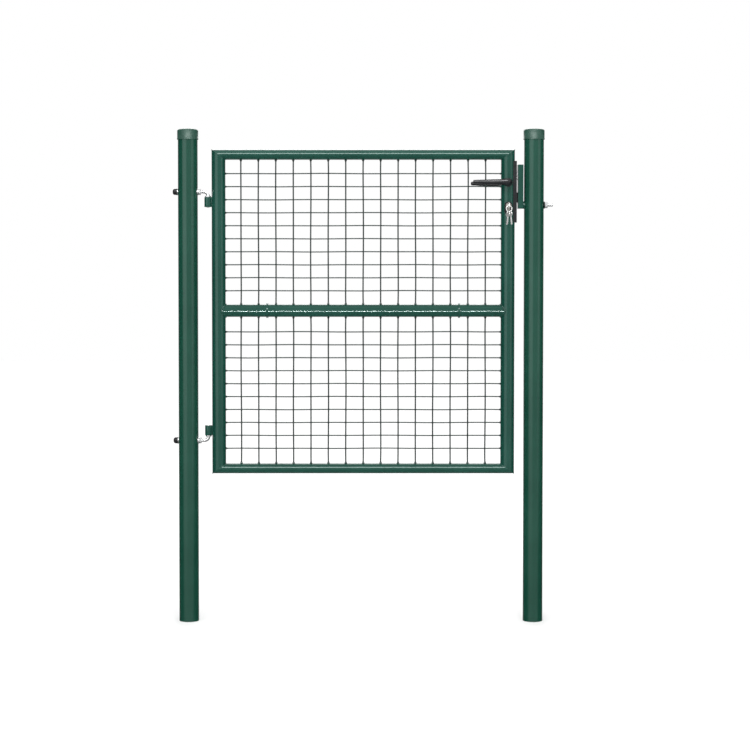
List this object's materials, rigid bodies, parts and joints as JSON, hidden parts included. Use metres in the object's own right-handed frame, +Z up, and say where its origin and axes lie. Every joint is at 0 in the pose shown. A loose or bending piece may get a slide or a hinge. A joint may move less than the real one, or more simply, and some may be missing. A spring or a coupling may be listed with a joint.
{
  "type": "garden gate",
  "caption": "Single-leaf garden gate of green coated tube and welded wire mesh on two round posts, with bolt hinges, lever lock, key and striker box.",
  "frame": {"origin": "centre of the hinge post's foot, on its lower end face", "axes": "+X from the hinge post to the latch post, +Y to the back of the closed gate, +Z up"},
  "size_m": [1.1531, 0.138, 1.5],
  "materials": {
    "frame_paint": "glossy green powder coat",
    "cap_plastic": "satin moulded plastic",
    "mesh_paint": "satin dark green coat",
    "zinc": "bright zinc plate",
    "black_plastic": "moulded, satin",
    "black_metal": "satin black coat",
    "cylinder_brass": "nickel-washed brass",
    "key_nickel": "polished nickel plate",
    "lock_steel": "plain steel"
  },
  "bodies": {
    "posts": {"hinge_post": "frame_paint", "latch_post": "frame_paint", "hinge_post_cap": "cap_plastic", "latch_post_cap": "cap_plastic", "upper_hinge_bolt": "zinc", "lower_hinge_bolt": "zinc", "upper_hinge_saddle": "zinc", "lower_hinge_saddle": "zinc", "upper_hinge_inner_nut": "zinc", "lower_hinge_inner_nut": "zinc", "upper_hinge_washer": "zinc", "lower_hinge_washer": "zinc", "upper_hinge_outer_nut": "zinc", "lower_hinge_outer_nut": "zinc", "upper_hinge_nut_cap": "black_plastic", "lower_hinge_nut_cap": "black_plastic", "upper_hinge_collar": "zinc", "lower_hinge_collar": "zinc", "striker_box": "frame_paint", "striker_stud": "zinc", "striker_spacer": "frame_paint", "striker_washer": "black_plastic", "striker_nut": "zinc"},
    "gate_leaf": {"hinge_stile": "frame_paint", "lock_stile": "frame_paint", "top_rail": "frame_paint", "bottom_rail": "frame_paint", "middle_rail": "frame_paint", "upper_mesh_panel": "mesh_paint", "lower_mesh_panel": "mesh_paint", "upper_hinge_sleeve": "frame_paint", "lower_hinge_sleeve": "frame_paint", "left_rail_strap": "frame_paint", "right_rail_strap": "frame_paint", "lock_case": "lock_steel", "lock_faceplate": "black_metal", "faceplate_screws": "lock_steel", "cylinder_body": "cylinder_brass", "cylinder_screw": "lock_steel", "front_cylinder_rose": "black_metal", "back_cylinder_rose": "black_metal", "front_handle_rose": "black_metal", "back_handle_rose": "black_metal"},
    "handle": {"front_lever": "black_metal", "back_lever": "black_metal", "handle_spindle": "lock_steel", "lock_follower": "lock_steel", "lever_grub_screws": "lock_steel"},
    "latch": {"latch_bolt": "zinc"},
    "bolt": {"deadbolt": "black_metal"},
    "front_plug": {"front_cylinder_plug": "cylinder_brass", "cylinder_cam": "lock_steel"},
    "back_plug": {"back_cylinder_plug": "cylinder_brass"},
    "lock_key": {"key": "key_nickel"},
    "key_bunch": {"key_ring": "key_nickel", "spare_key_left": "key_nickel", "spare_key_right": "key_nickel"}
  },
  "joints": [
    {"name": "gate_swing", "type": "hinge", "parent": "posts", "child": "gate_leaf", "pos_m": [0.061, 0, 0.575], "axis": [0, 0, 1], "range_deg": [-110, 110]},
    {"name": "handle_turn", "type": "hinge", "parent": "gate_leaf", "child": "handle", "pos_m": [0.971, 0, 1.336], "axis": [0, -1, 0], "range_deg": [0, 40], "stiffness_Nm_per_rad": 1.2, "springref_deg": -22.92},
    {"name": "latch_slide", "type": "slide", "parent": "gate_leaf", "child": "latch", "axis": [-1, 0, 0], "range_m": [0, 0.0104]},
    {"name": "key_turn", "type": "hinge", "parent": "gate_leaf", "child": "front_plug", "pos_m": [0.971, 0, 1.266], "axis": [0, -1, 0], "range_deg": [0, 360]},
    {"name": "deadbolt_slide", "type": "slide", "parent": "gate_leaf", "child": "bolt", "axis": [-1, 0, 0], "range_m": [0, 0.0142]},
    {"name": "back_plug_turn", "type": "hinge", "parent": "gate_leaf", "child": "back_plug", "pos_m": [0.971, 0, 1.266], "axis": [0, 1, 0], "range_deg": [0, 360]},
    {"name": "key_pull", "type": "slide", "parent": "front_plug", "child": "lock_key", "axis": [0, -1, 0], "range_m": [0, 0.024]},
    {"name": "ring_swing", "type": "hinge", "parent": "lock_key", "child": "key_bunch", "pos_m": [0.971, -0.048, 1.266], "axis": [-1, 0, 0], "range_deg": [-15, 60]}
  ],
  "couplings": [
    {"joint": "latch_slide", "follows": "handle_turn", "m_per_rad": 0.0148},
    {"joint": "deadbolt_slide", "follows": "key_turn", "m_per_rad": 0.00225}
  ]
}
